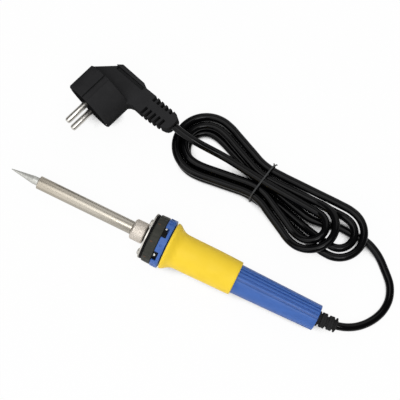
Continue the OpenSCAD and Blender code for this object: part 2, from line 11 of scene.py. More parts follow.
import bpy
import numpy as np
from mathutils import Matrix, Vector


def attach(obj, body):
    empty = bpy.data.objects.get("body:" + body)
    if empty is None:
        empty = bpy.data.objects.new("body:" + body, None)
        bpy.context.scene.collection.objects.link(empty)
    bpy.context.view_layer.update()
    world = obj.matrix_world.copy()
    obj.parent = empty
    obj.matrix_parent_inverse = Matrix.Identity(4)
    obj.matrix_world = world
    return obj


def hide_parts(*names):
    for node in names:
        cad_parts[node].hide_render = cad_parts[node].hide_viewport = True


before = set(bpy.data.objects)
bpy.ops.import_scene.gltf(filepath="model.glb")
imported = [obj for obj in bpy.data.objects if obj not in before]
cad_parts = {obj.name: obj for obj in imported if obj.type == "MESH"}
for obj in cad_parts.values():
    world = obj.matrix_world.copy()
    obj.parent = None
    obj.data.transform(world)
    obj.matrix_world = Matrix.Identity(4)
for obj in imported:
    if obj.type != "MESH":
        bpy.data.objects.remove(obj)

LOG = logging.getLogger("soldering_iron")
MM = 0.001
TURN = 2.0 * np.pi

# How the iron lies: its axis starts at the tip's point and drops towards the tail
TILT = np.radians(4.291639)
LAY = np.array([-117.70673, 0.0, 26.86721])

# Stretch of a noise over which a finish goes from its colour to its shade
TONE_RANGE = (0.35, 0.75)
# Stretch of a noise over which a finish goes from its smoothest to its roughest
ROUGH_RANGE = (0.3, 0.7)
NOISE_ROUGHNESS = 0.6
MOTTLE_DETAIL = 3.0
GRAIN_DETAIL = 2.0

# Sockets of a mix node that carry colours
MIX_FIRST, MIX_SECOND, MIX_RESULT = 6, 7, 2

WHITE = (1.0, 1.0, 1.0, 1.0)

# Points nearer than this become one before edges sharper than the corner are softened
WELD = 0.002 * MM
CORNER = np.radians(35.0)

# Points worked out on the curve between two knots
KNOT_STEPS = 24

Points = np.ndarray
Grid = tuple[Points, bool, bool]
Tree = bpy.types.NodeTree
Socket = bpy.types.NodeSocket


class Pattern(Enum):
    """What a finish's pattern runs along."""

    BENCH = "bench"
    IRON = "iron"
    RUN = "run"


def rotated(x: Points, y: Points, angle: Points) -> tuple[Points, Points]:
    """Turns points of a plane about its origin: x cos - y sin, and x sin + y cos."""
    cos, sin = np.cos(angle), np.sin(angle)
    return x * cos - y * sin, x * sin + y * cos


def linear(code: str) -> tuple[float, float, float, float]:
    """Turns an sRGB hex value into linear light.

    Args:
        code: Six hex digits after a hash sign.

    Returns:
        Linear red, green and blue, and an alpha of 1.
    """
    parts = np.array([int(code[i:i + 2], 16) for i in (1, 3, 5)]) / 255.0
    low, high = parts / 12.92, ((parts + 0.055) / 1.055) ** 2.4
    return (*np.where(parts <= 0.04045, low, high).tolist(), 1.0)


def add(tree: Tree, kind: str, inputs: dict[Any, Any] | None = None,
        **settings: Any) -> bpy.types.Node:
    """Adds a node, sets its options and fills or links its inputs.

    Args:
        tree: The node tree that takes the node.
        kind: Blender's name for the type of node, without ShaderNode in front.
        inputs: Input name or index to a value, or to an output that is linked to it.
        **settings: Options of the node itself.

    Returns:
        The new node.
    """
    node = tree.nodes.new(f"ShaderNode{kind}")
    for name, value in settings.items():
        setattr(node, name, value)
    for key, value in (inputs or {}).items():
        if isinstance(value, Socket):
            tree.links.new(value, node.inputs[key])
        else:
            node.inputs[key].default_value = value
    return node


@dataclass(frozen=True)
class Finish:
    """A real material and how its surface was made, as a procedural shader.

    Sizes of patterns are in millimetres along and across the iron, the bench or the run.
    """

    name: str
    colour: str
    shade: str
    roughness: tuple[float, float]
    mottle_mm: tuple[float, float, float] = (6.0, 6.0, 6.0)
    grain_mm: tuple[float, float, float] = (0.5, 0.5, 0.5)
    grain_depth_mm: float = 0.01
    mottle_share: float = 0.5
    metallic: float = 0.0
    pattern: Pattern = Pattern.IRON
    specular: float = 0.5
    coat: float = 0.0
    coat_roughness: float = 0.1
    sheen: float = 0.0

    def coords(self, tree: Tree) -> Socket:
        """Gives the coordinates that the patterns run along.

        Object coordinates are turned back by the iron's tilt so that x runs along its axis
        from the tip's point. A run uses its own UV map: around and along.

        Args:
            tree: The material's node tree.

        Returns:
            The coordinates, in metres.
        """
        source = add(tree, "TexCoord")
        if self.pattern is Pattern.RUN:
            return source.outputs["UV"]
        if self.pattern is Pattern.BENCH:
            return source.outputs["Object"]
        along, up = rotated(LAY[0], LAY[2], TILT)
        levelled = add(tree, "Mapping", {
            "Vector": source.outputs["Object"], "Rotation": (0.0, -TILT, 0.0),
            "Location": (-MM * along, 0.0, -MM * up)})
        return levelled.outputs["Vector"]

    def noise(self, tree: Tree, coords: Socket, size_mm: Sequence[float],
              detail: float) -> Socket:
        """Gives a noise whose cells have a real size.

        Args:
            tree: The material's node tree.
            coords: Where the noise is looked up, in metres.
            size_mm: Size of a cell along each axis.
            detail: How many finer layers lie on it.

        Returns:
            The noise, from 0 to 1.
        """
        scaled = add(tree, "Mapping", {
            "Vector": coords, "Scale": [1.0 / MM / size for size in size_mm]})
        return add(tree, "TexNoise", {
            "Vector": scaled.outputs["Vector"], "Scale": 1.0, "Detail": detail,
            "Roughness": NOISE_ROUGHNESS}).outputs["Fac"]

    def tone(self, tree: Tree, coords: Socket, mottle: Socket) -> Socket:
        """Gives the colour: the main one, drifting to its shade with the mottling.

        Args:
            tree: The material's node tree.
            coords: The pattern's coordinates, not used here; for finishes that change along them.
            mottle: The noise that the colour drifts with.

        Returns:
            The colour.
        """
        share = add(tree, "MapRange", {
            "Value": mottle, "From Min": TONE_RANGE[0], "From Max": TONE_RANGE[1],
            "To Max": self.mottle_share})
        return add(tree, "Mix", {
            0: share.outputs["Result"], MIX_FIRST: linear(self.colour),
            MIX_SECOND: linear(self.shade)}, data_type="RGBA").outputs[MIX_RESULT]

    def relief(self, tree: Tree, coords: Socket) -> Socket:
        """Gives the height of the surface's grain, from 0 to 1."""
        return self.noise(tree, coords, self.grain_mm, GRAIN_DETAIL)

    def build(self) -> bpy.types.Material:
        """Builds the shader, or gives the one that was built before.

        Returns:
            The material.
        """
        known = bpy.data.materials.get(self.name)
        if known is not None:
            return known
        material = bpy.data.materials.new(self.name)
        material.use_nodes = True
        tree = material.node_tree
        shader = tree.nodes["Principled BSDF"]
        coords = self.coords(tree)
        mottle = self.noise(tree, coords, self.mottle_mm, MOTTLE_DETAIL)
        rough = add(tree, "MapRange", {
            "Value": mottle, "From Min": ROUGH_RANGE[0], "From Max": ROUGH_RANGE[1],
            "To Min": self.roughness[0], "To Max": self.roughness[1]})
        bump = add(tree, "Bump", {
            "Height": self.relief(tree, coords), "Distance": self.grain_depth_mm * MM,
            "Strength": 1.0})
        tree.links.new(self.tone(tree, coords, mottle), shader.inputs["Base Color"])
        tree.links.new(rough.outputs["Result"], shader.inputs["Roughness"])
        tree.links.new(bump.outputs["Normal"], shader.inputs["Normal"])
        for key, value in (("Metallic", self.metallic), ("Specular IOR Level", self.specular),
                           ("Coat Weight", self.coat), ("Coat Roughness", self.coat_roughness),
                           ("Sheen Weight", self.sheen)):
            shader.inputs[key].default_value = value
        return material


@dataclass(frozen=True)
class Foam(Finish):
    """Moulded closed-cell foam: a matt skin with fine shut pores."""

    def relief(self, tree: Tree, coords: Socket) -> Socket:
        """Gives the pores as the distance to scattered points."""
        scaled = add(tree, "Mapping", {
            "Vector": coords, "Scale": [1.0 / MM / size for size in self.grain_mm]})
        return add(tree, "TexVoronoi", {
            "Vector": scaled.outputs["Vector"], "Scale": 1.0}).outputs["Distance"]


@dataclass(frozen=True)
class HeatTintAndShadeSteel(Finish):
    """Steel whose colour fades along its axis: heat tint, and on the plate painted shadow."""

    tint_and_shade: str = "#b59a6a"
    tint_and_shade_from_mm: float = 24.0
    tint_and_shade_to_mm: float = 60.0
    tint_and_shade_share: float = 0.1

    def tone(self, tree: Tree, coords: Socket, mottle: Socket) -> Socket:
        """Gives the steel's colour with its band mixed in towards the tip's end.

        Args:
            tree: The material's node tree.
            coords: The pattern's coordinates, x along the iron.
            mottle: The noise that the steel's colour drifts with.

        Returns:
            The colour.
        """
        plain = super().tone(tree, coords, mottle)
        along = add(tree, "SeparateXYZ", {"Vector": coords})
        # The band is heat tint on the sleeve and painted shadow on the plate's thread
        share = add(tree, "MapRange", {
            "Value": along.outputs["X"], "From Min": self.tint_and_shade_from_mm * MM,
            "From Max": self.tint_and_shade_to_mm * MM, "To Min": self.tint_and_shade_share, "To Max": 0.0})
        return add(tree, "Mix", {
            0: share.outputs["Result"], MIX_FIRST: plain, MIX_SECOND: linear(self.tint_and_shade)},
            data_type="RGBA").outputs[MIX_RESULT]


@dataclass(frozen=True)
class Bars:
    """Even bars round the collar, between two stations.

    Their turn and half their width are shares of the step from bar to bar.
    """

    colour: str
    strength: float
    count: int
    turn: float
    half: float
    zone_mm: tuple[float, float]

    def cover(self, tree: Tree, uv: bpy.types.Node) -> Socket:
        """Gives how far the bars cover what lies under them.

        Args:
            tree: The material's node tree.
            uv: Node with the share of a turn and the station in metres.

        Returns:
            The bars' strength on them, and 0 elsewhere.
        """
        steps = add(tree, "Math", {
            0: uv.outputs["X"], 1: float(self.count), 2: self.turn}, operation="MULTIPLY_ADD")
        step = add(tree, "Math", {0: steps.outputs[0]}, operation="FRACT")
        on_bar = add(tree, "Math", {
            0: step.outputs[0], 1: 0.5, 2: self.half}, operation="COMPARE")
        low, high = self.zone_mm
        middle = 0.5 * (low + high)
        in_zone = add(tree, "Math", {
            0: uv.outputs["Y"], 1: middle * MM, 2: (high - middle) * MM}, operation="COMPARE")
        both = add(tree, "Math", {
            0: on_bar.outputs[0], 1: in_zone.outputs[0]}, operation="MULTIPLY")
        return add(tree, "Math", {
            0: both.outputs[0], 1: self.strength}, operation="MULTIPLY").outputs[0]


@dataclass(frozen=True)
class PrintedCollar(Finish):
    """Moulded collar with plain ticks printed on its face, and pale marks on a painted-shade skirt.
    """

    ticks: Bars = Bars("#8a5238", 0.3, 8, 0.0556, 0.035, (109.9, 111.7))
    marks: Bars = Bars("#e4e6e0", 1.0, 5, 0.57, 0.045, (115.9, 117.1))
    # Near-black skirt colour: painted shade in the recess seen through the ring's windows
    skirt: str = "#050505"
    skirt_from_mm: float = 115.25

    def tone(self, tree: Tree, coords: Socket, mottle: Socket) -> Socket:
        """Gives the collar's colour with its ticks, and its skirt in painted shade with the marks.

        Args:
            tree: The material's node tree.
            coords: The pattern's coordinates.
            mottle: The noise that the collar's colour drifts with.

        Returns:
            The colour.
        """
        tone = super().tone(tree, coords, mottle)
        uv = add(tree, "SeparateXYZ", {"Vector": add(tree, "TexCoord").outputs["UV"]})
        # Painted shade: the skirt behind the ring's windows turns near-black
        skirt = add(tree, "Math", {
            0: uv.outputs["Y"], 1: self.skirt_from_mm * MM}, operation="GREATER_THAN")
        layers = [(skirt.outputs[0], self.skirt)]
        layers += [(bars.cover(tree, uv), bars.colour) for bars in (self.ticks, self.marks)]
        for share, colour in layers:
            tone = add(tree, "Mix", {0: share, MIX_FIRST: tone, MIX_SECOND: linear(colour)},
                       data_type="RGBA").outputs[MIX_RESULT]
        return tone


# Plated copper bit, satin: soft grey shine, a little duller where flux has touched it
TIP_PLATE = Finish("plated_tip_satin", "#c8c8c3", "#bcbbb5", (0.42, 0.56), (3.0, 1.5, 1.5),
                   (0.16, 4.0, 4.0), 0.004, 0.7, 1.0)
# Drawn stainless tube: streaks along it, straw-coloured where it runs hottest
SLEEVE_STEEL = HeatTintAndShadeSteel("stainless_sleeve_drawn", "#b4aea3", "#ada79b", (0.35, 0.39),
                           (14.0, 1.2, 1.2), (12.0, 0.25, 0.25), 0.0005, 0.4, 1.0)
# Nickel plate on turned and knurled brass: bright, slightly warm
NUT_NICKEL = Finish("nickel_nut_knurled", "#dad2c8", "#cec5ba", (0.46, 0.56), (2.0, 1.0, 1.0),
                    (0.2, 3.0, 3.0), 0.001, 0.5, 1.0)
# Zinc-plated pressed steel: pale and faintly clouded
# Painted shadow darkens its thread in front of the plate, in the gap behind the nut
PLATE_ZINC = HeatTintAndShadeSteel("zinc_plate_pressed", "#c6c3bc", "#b0aca4", (0.3, 0.42),
                         (2.5, 2.5, 2.5), (0.3, 0.3, 0.3), 0.001, 0.6, 1.0, tint_and_shade="#211d1a",
                         tint_and_shade_from_mm=104.9, tint_and_shade_to_mm=105.2, tint_and_shade_share=0.95)
SCREW_ZINC = Finish("zinc_screw_rolled", "#c2bfb8", "#a8a39a", (0.2, 0.34), (1.0, 1.0, 1.0),
                    (0.15, 1.0, 1.0), 0.003, 0.6, 1.0)
# Phenolic paper board: black, dull, with a faint fibre
DISC_PHENOLIC = Finish("black_phenolic_cut", "#0c0b0b", "#151413", (0.5, 0.7), (3.0, 3.0, 3.0),
                       (0.4, 0.4, 0.4), 0.004, specular=0.1)
# Sintered alumina: off-white, chalky
HEATER_CERAMIC = Finish("alumina_heater_fired", "#ece6d8", "#d6cbb6", (0.45, 0.6),
                        (4.0, 2.0, 2.0), (0.3, 0.3, 0.3), 0.006)
# Dark grey moulded thermoset: fine matt grain, worn a little smoother in patches
DIAL_COLLAR = PrintedCollar("grey_collar_moulded", "#343530", "#403f39", (0.42, 0.55),
                            (4.0, 4.0, 4.0), (0.35, 0.35, 0.35), 0.004, specular=0.15)
HUB_MOULDING = Finish("grey_hub_moulded", "#3a3d40", "#4a4d50", (0.45, 0.6))
# Spring brass strip
WIPER_BRASS = Finish("spring_brass_rolled", "#c9a45a", "#a8843f", (0.2, 0.35), metallic=1.0)
# Blue glass-filled nylon: satin, with the mould's fine spark grain, drawn coarser to show
SHELL_NYLON = Finish("blue_nylon_moulded", "#4069b4", "#385da4", (0.3, 0.42), (9.0, 4.0, 4.0),
                     (0.4, 0.4, 0.4), 0.004, specular=0.3)
# Yellow foam rubber: matt skin, closed pores about 0.6 mm across
GRIP_FOAM = Foam("yellow_foam_moulded", "#fbd62e", "#f6cf26", (0.55, 0.72), (9.0, 9.0, 9.0),
                 (0.6, 0.6, 0.6), 0.02, specular=0.4, sheen=0.1)
# Soft black PVC, extruded: a smooth skin with faint streaks along the run
CORD_PVC = Finish("black_pvc_extruded", "#040405", "#08080a", (0.12, 0.16), (3.0, 40.0, 3.0),
                  (0.8, 14.0, 0.8), 0.001, pattern=Pattern.RUN, specular=0.14)
# Paper-covered wire, dark grey and dull
TIE_PAPER = Finish("grey_tie_paper", "#2b2c2d", "#3a3b3b", (0.5, 0.7), (0.8, 3.0, 0.8),
                   (0.3, 0.6, 0.3), 0.02, pattern=Pattern.RUN)
# Black PVC, moulded: matt, with the mould's fine spark grain
PLUG_PVC = Finish("black_pvc_moulded", "#2b2b2c", "#323233", (0.35, 0.42), (8.0, 8.0, 8.0),
                  (0.45, 0.45, 0.45), 0.003, pattern=Pattern.BENCH, specular=0.0)
# Black nylon round the pins: matt, darker than the plug
CARRIER_NYLON = Finish("black_nylon_moulded", "#151516", "#1b1b1c", (0.4, 0.55),
                       pattern=Pattern.BENCH, specular=0.0)
# Nickel-plated brass pins, satin
PIN_NICKEL = Finish("nickel_pin_satin", "#d2cfc9", "#cac7c0", (0.3, 0.34), (3.0, 3.0, 3.0),
                    (0.3, 0.3, 0.3), 0.0003, 0.5, 1.0, Pattern.BENCH)
# Black rubber boot: duller than the cord
BOOT_RUBBER = Finish("black_rubber_moulded", "#262627", "#2c2c2d", (0.5, 0.6),
                     (4.0, 4.0, 4.0), (0.4, 0.4, 0.4), 0.006, specular=0.05)
# Plain finishes of the pieces inside the handle
ANCHOR_NYLON = Finish("white_nylon_moulded", "#e6e4dc", "#d8d5ca", (0.35, 0.5))
BOARD_EPOXY = Finish("green_board_etched", "#2c6a45", "#245a3a", (0.25, 0.4),
                     (5.0, 5.0, 5.0), (0.8, 0.8, 0.8), 0.01)
TRACK_PAPER = Finish("brown_board_pressed", "#2a211b", "#221b16", (0.4, 0.55))
TRIAC_EPOXY = Finish("black_epoxy_moulded", "#202022", "#2c2c2e", (0.4, 0.55))
CAPACITOR_EPOXY = Finish("red_epoxy_dipped", "#9b3226", "#87291f", (0.2, 0.35), coat=0.3)
RESISTOR_LACQUER = Finish("tan_lacquer_dipped", "#cdb38a", "#bba078", (0.3, 0.45))
LIVE_PVC = Finish("brown_pvc_extruded", "#6b4227", "#5a3620", (0.35, 0.5))
NEUTRAL_PVC = Finish("blue_pvc_extruded", "#2b5fb0", "#244f96", (0.35, 0.5))
EARTH_PVC = Finish("green_pvc_extruded", "#7fa62e", "#d2c332", (0.35, 0.5), (12.0, 3.0, 3.0))
LEAD_SILICONE = Finish("white_silicone_extruded", "#e8e6e0", "#d8d5cc", (0.4, 0.55))
TRACK_LEAD_PVC = Finish("orange_pvc_extruded", "#d47a2c", "#bf6b24", (0.35, 0.5))


def on_iron(points: Points) -> Points:
    """Lays points of the iron's own frame, x along its axis, on the bench.

    Args:
        points: Stations and offsets in millimetres, the last axis x, y, z.

    Returns:
        The same points in the shared frame, in millimetres.
    """
    along, up = rotated(points[..., 0], points[..., 2], -TILT)
    return LAY + np.stack([along, points[..., 1], up], axis=-1)


def angles(steps: int) -> Points:
    """Gives evenly spaced angles round one turn, from 0."""
    return np.arange(steps) / steps * TURN


def unit(vectors: Points) -> Points:
    """Brings each row to a length of 1."""
    return vectors / np.linalg.norm(vectors, axis=1)[:, None]


def spread(profile: Points, columns: int) -> tuple[Points, Points]:
    """Gives a profile's stations and radii on a grid of profile steps by angles."""
    station, radius = profile[:, :1], profile[:, 1:]
    return np.repeat(station, columns, axis=1), np.repeat(radius, columns, axis=1)


def cubic(start: Points, end: Points, pull: Points, push: Points, u: Points) -> Points:
    """Gives points on a curve between two points with known slopes.

    Formula: start (2u^3 - 3u^2 + 1) + end (3u^2 - 2u^3) + pull (u^3 - 2u^2 + u)
    + push (u^3 - u^2).

    Args:
        start: Where the curve starts.
        end: Where it ends.
        pull: Its slope at the start.
        push: Its slope at the end.
        u: Shares of the way.

    Returns:
        A point for each share.
    """
    return (start * (2 * u**3 - 3 * u**2 + 1) + end * (3 * u**2 - 2 * u**3)
            + pull * (u**3 - 2 * u**2 + u) + push * (u**3 - u**2))


def spline(knots: Points, step: float) -> Points:
    """Draws a smooth curve through knots and spaces points evenly on it.

    Formula: a cubic between each pair of knots, whose slope at a knot is the mean of the two
    chords there, each weighted by the other's length.

    Args:
        knots: Knots in millimetres, one a row.
        step: Distance between the new points.

    Returns:
        Points along the curve, one a row.
    """
    chord = np.diff(knots, axis=0)
    length = np.linalg.norm(chord, axis=1)[:, None]
    slope = chord / length
    inner = (slope[:-1] * length[1:] + slope[1:] * length[:-1]) / (length[1:] + length[:-1])
    tangent = np.vstack([slope[:1], inner, slope[-1:]])
    u = np.linspace(0.0, 1.0, KNOT_STEPS, endpoint=False)[None, :, None]
    curve = cubic(knots[:-1, None], knots[1:, None], tangent[:-1, None] * length[:, None],
                  tangent[1:, None] * length[:, None], u)
    dense = np.vstack([curve.reshape(-1, 3), knots[-1:]])
    run = np.concatenate([[0.0], np.cumsum(np.linalg.norm(np.diff(dense, axis=0), axis=1))])
    even = np.linspace(0.0, run[-1], int(run[-1] / step) + 1)
    return np.stack([np.interp(even, run, dense[:, k]) for k in range(3)], axis=1)


def swept(path: Points, profile: Points, twist: Points | None = None) -> Points:
    """Carries a closed profile along an open path.

    Formula: path + side times the profile's x + up times its y, where side is level and
    square to the path, up is square to both, and twist turns the profile on the way.

    Args:
        path: Points of the path in millimetres, one a row.
        profile: Points of the profile in millimetres, x and y a row.
        twist: Angle of the profile at each point of the path.

    Returns:
        Grid of points, path steps by profile steps.
    """
    ahead = unit(np.gradient(path, axis=0))
    side = unit(np.cross(ahead, [0.0, 0.0, 1.0]))
    up = np.cross(side, ahead)
    angle = np.zeros(len(path)) if twist is None else twist
    x, y = rotated(profile[None, :, :1], profile[None, :, 1:], angle[:, None, None])
    return path[:, None] + side[:, None] * x + up[:, None] * y


def oval(width: float, height: float, steps: int, power: float = 1.0) -> Points:
    """Gives a rounded profile.

    Formula: half the width times the cosine, half the height times the sine, each raised to
    a power below 1 to square the corners.

    Args:
        width: Size along x.
        height: Size along y.
        steps: Points round the profile.
        power: Power of the cosine and the sine.

    Returns:
        Profile points, one a row.
    """
    cos, sin = np.cos(angles(steps)), np.sin(angles(steps))
    return np.stack([width / 2 * np.sign(cos) * np.abs(cos) ** power,
                     height / 2 * np.sign(sin) * np.abs(sin) ** power], axis=1)


def rounded(corners: Sequence[tuple[float, float, float]], steps: int) -> Points:
    """Rounds the corners of a closed outline.

    Formula: each corner gives way to a curve of second degree that starts and ends the
    corner's own radius away from it along its two sides.

    Args:
        corners: First value, second value and radius of each corner.
        steps: Points on each corner.

    Returns:
        Outline points, one a row.
    """
    table = np.array(corners)
    at, reach = table[:, :2], table[:, 2:]
    before, after = np.roll(at, 1, axis=0) - at, np.roll(at, -1, axis=0) - at
    start, end = at + unit(before) * reach, at + unit(after) * reach
    u = np.linspace(0.0, 1.0, steps)[None, :, None]
    curve = (start[:, None] * (1 - u) ** 2 + at[:, None] * 2 * u * (1 - u)
             + end[:, None] * u**2)
    return curve.reshape(-1, 2)


def piece(name: str, grids: Sequence[Grid], uvs: Sequence[Points],
          sharp_degrees: float = 40.0) -> bpy.types.Object:
    """Makes one object from grids of points, at the origin with its place in its mesh.

    A grid that isn't joined along its first parameter gets a cap at each end, fanned from
    the middle of its ring.

    Args:
        name: Name of the piece.
        grids: Points in millimetres, with whether rows and columns join up at the ends.
        uvs: For each grid, UV values one row and one column wider than the points.
        sharp_degrees: Angle above which an edge stays sharp.

    Returns:
        The linked object.
    """
    corner_list, face_list, uv_list, base = [], [], [], 0
    fans: list[np.ndarray] = []
    fan_uvs: list[np.ndarray] = []
    for (points, join_rows, join_columns), uv in zip(grids, uvs):
        rows, columns = points.shape[:2]
        i, j = np.meshgrid(np.arange(rows if join_rows else rows - 1),
                           np.arange(columns if join_columns else columns - 1), indexing="ij")
        below, beside = (i + 1) % rows, (j + 1) % columns
        quads = np.stack([i * columns + j, i * columns + beside,
                          below * columns + beside, below * columns + j], axis=-1)
        face_list.append(base + quads.reshape(-1, 4))
        uv_list.append(np.stack([uv[i, j], uv[i, j + 1], uv[i + 1, j + 1], uv[i + 1, j]],
                                axis=-2).reshape(-1, 2))
        corner_list.append(points.reshape(-1, 3))
        ring, base = base, base + rows * columns
        if not join_rows:
            k = np.arange(columns)
            n = (k + 1) % columns
            for row, a, b in ((0, n, k), (rows - 1, k, n)):
                at = ring + row * columns
                corner_list.append(points[row].mean(axis=0)[None])
                fans.append(np.stack([at + a, at + b, np.full(columns, base)], axis=-1))
                fan_uvs.append(np.stack([uv[row, a], uv[row, b], uv[row, k]], 1).reshape(-1, 2))
                base += 1
    quads = np.concatenate(face_list)
    triangles = np.concatenate(fans) if fans else np.zeros((0, 3), dtype=int)
    mesh = bpy.data.meshes.new(name)
    mesh.from_pydata(np.concatenate(corner_list) * MM, [], quads.tolist() + triangles.tolist())
    layer = mesh.uv_layers.new(name="run")
    layer.data.foreach_set("uv", np.concatenate(uv_list + fan_uvs).astype(np.float32).ravel())
    mesh.polygons.foreach_set("use_smooth", np.ones(len(mesh.polygons), dtype=bool))
    mesh.set_sharp_from_angle(angle=np.radians(sharp_degrees))
    mesh.validate()
    mesh.update()
    made = bpy.data.objects.new(name, mesh)
    bpy.context.scene.collection.objects.link(made)
    return made


def run_uv(path: Points, girth: float, columns: int, closed: bool = False) -> Points:
    """Gives UV values for a swept grid: around the profile and along the path.

    Args:
        path: Points of the path in millimetres, one a row.
        girth: Length round the profile in millimetres.
        columns: Points round the profile.
        closed: Whether the path ends where it starts.

    Returns:
        UV values in metres, one row and one column wider than the grid.
    """
    step = np.linalg.norm(np.diff(path, axis=0), axis=1)
    run = np.concatenate([[0.0], np.cumsum(step), [step.sum() + (step[-1] if closed else 0.0)]])
    around = np.linspace(0.0, girth, columns + 1)
    return np.stack(np.meshgrid(around, run, indexing="xy"), axis=-1) * MM


def turned_piece(name: str, station: Points, radius: Points,
                 sharp_degrees: float) -> bpy.types.Object:
    """Makes an object of a closed profile that is turned about the iron's axis.

    Formula: (s, r cos a, r sin a), with the angle a along the second parameter. The UV values
    are the share of a turn, and the station in metres.

    Args:
        name: Name of the piece.
        station: Stations in millimetres on the grid of profile steps by angles.
        radius: Radii in millimetres on the same grid.
        sharp_degrees: Angle above which an edge stays sharp.

    Returns:
        The linked object.
    """
    columns = station.shape[1]
    angle = angles(columns)
    points = on_iron(np.stack([station, radius * np.cos(angle), radius * np.sin(angle)], -1))
    along = np.concatenate([station[:, 0], station[:1, 0]]) * MM
    uv = np.stack(np.meshgrid(np.linspace(0.0, 1.0, columns + 1), along, indexing="xy"), -1)
    return piece(name, [(points, True, True)], [uv], sharp_degrees)


def dress(target: bpy.types.Object, finish: Finish) -> None:
    """Gives an object one finish in place of what it had."""
    target.data.materials.clear()
    target.data.materials.append(finish.build())


def settle(made: bpy.types.Object, body: str, slot: str, finish: Finish, *nodes: str) -> None:
    """Dresses a new piece, puts it on its body and lets it stand for CAD nodes.

    Args:
        made: The new piece.
        body: The CAD body that it moves with.
        slot: The record's material slot. Not used.
        finish: What it is made of.
        *nodes: The CAD nodes that it replaces.
    """
    dress(made, finish)
    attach(made, body)
    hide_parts(*nodes)
    LOG.info("%s rides on %s and stands for %s", made.name, body, ", ".join(nodes))


def finish_nodes(finishes: dict[str, Finish], edge_mm: dict[str, float]) -> None:
    """Gives CAD nodes their finishes, and soft moulded or turned edges where named.

    Args:
        finishes: Node name to finish.
        edge_mm: Node name to the width of its softened edges.
    """
    for name, finish in finishes.items():
        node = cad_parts[name]
        dress(node, finish)
        if name in edge_mm:
            weld = node.modifiers.new("weld", "WELD")
            weld.merge_threshold = WELD
            bevel = node.modifiers.new("edge", "BEVEL")
            bevel.width = edge_mm[name] * MM
            bevel.segments = 2
            bevel.limit_method = "ANGLE"
            bevel.angle_limit = CORNER
        LOG.info("%s is finished in %s", name, finish.name)


@dataclass
class HotEnd:
    """Tip, sleeve and the knurled nut that draws the sleeve back. Sizes in millimetres."""

    nut_start: float = 94.2
    nut_end: float = 104.0
    nut_radius: float = 7.55
    nut_bore: float = 5.05
    nut_web: float = 2.4
    thread_bore: float = 6.1
    knurl_front: float = 1.55
    knurl_back: float = 1.1
    knurl_rows: int = 60
    knurl_steps: int = 46
    knurl_depth: float = 0.16
    knurl_fade: float = 0.25
    wall_slack: float = 0.01
    corner_steps: int = 4
    columns: int = 480
    sleeve_edge: float = 0.15

    def nut(self) -> bpy.types.Object:
        """Builds the nut.

        Formula: a closed profile turned about the axis, and within the knurled band the
        radius drops by a depth times what the product of two families of slanted waves
        leaves of 1.

        Returns:
            The linked nut.
        """
        start, end, radius = self.nut_start, self.nut_end, self.nut_radius
        outline = rounded([
            (start, self.nut_bore, 0.25), (start, radius - 1.2, 0.3),
            (start + 0.9, radius - 0.05, 0.7), (start + 1.5, radius, 0.2),
            (end - 1.0, radius, 0.2), (end, radius - 0.35, 0.25),
            (end, self.thread_bore, 0.15), (start + self.nut_web, self.thread_bore, 0.15),
            (start + self.nut_web, self.nut_bore, 0.15)], self.corner_steps)
        band = np.linspace(start + self.knurl_front, end - self.knurl_back, self.knurl_steps)
        first, last = band[0], band[-1]
        split, rest = (int(np.argmin(np.abs(outline - (at, radius)).sum(axis=1)))
                       for at in (first, last))
        knurled = np.stack([band, np.full(len(band), radius)], axis=1)
        profile = np.vstack([outline[:split], knurled, outline[rest + 1:]])
        station, radii = spread(profile, self.columns)
        angle = angles(self.columns)
        outer = radii > radius - self.wall_slack
        inside = (station >= first) & (station <= last) & outer
        fade = np.clip(np.minimum(station - first, last - station) / self.knurl_fade, 0.0, 1.0)
        slant = (station - start) / radius
        waves = (np.abs(np.sin(self.knurl_rows / 2 * (angle + slant)))
                 * np.abs(np.sin(self.knurl_rows / 2 * (angle - slant))))
        radii = radii - np.where(inside, fade * self.knurl_depth * (1.0 - waves), 0.0)
        return turned_piece("sleeve_nut_knurled", station, radii, sharp_degrees=50.0)

    def build(self) -> None:
        """Builds the nut and dresses the tip and the sleeve."""
        settle(self.nut(), "nut", "nut_steel", NUT_NICKEL, "sleeve_nut")
        finish_nodes({"tip": TIP_PLATE, "tip_sleeve": SLEEVE_STEEL},
                     {"tip_sleeve": self.sleeve_edge})


@dataclass
class Flange:
    """Plate, screws, insulating disc and heater between the hot end and the dial."""

    edge: float = 0.15

    def build(self) -> None:
        """Dresses the flange's CAD nodes."""
        finish_nodes({
            "heater_mount": PLATE_ZINC, "flange_screws": SCREW_ZINC,
            "insulating_disc": DISC_PHENOLIC, "heater_rod": HEATER_CERAMIC,
            "heater_leads": LEAD_SILICONE}, {"flange_screws": self.edge})


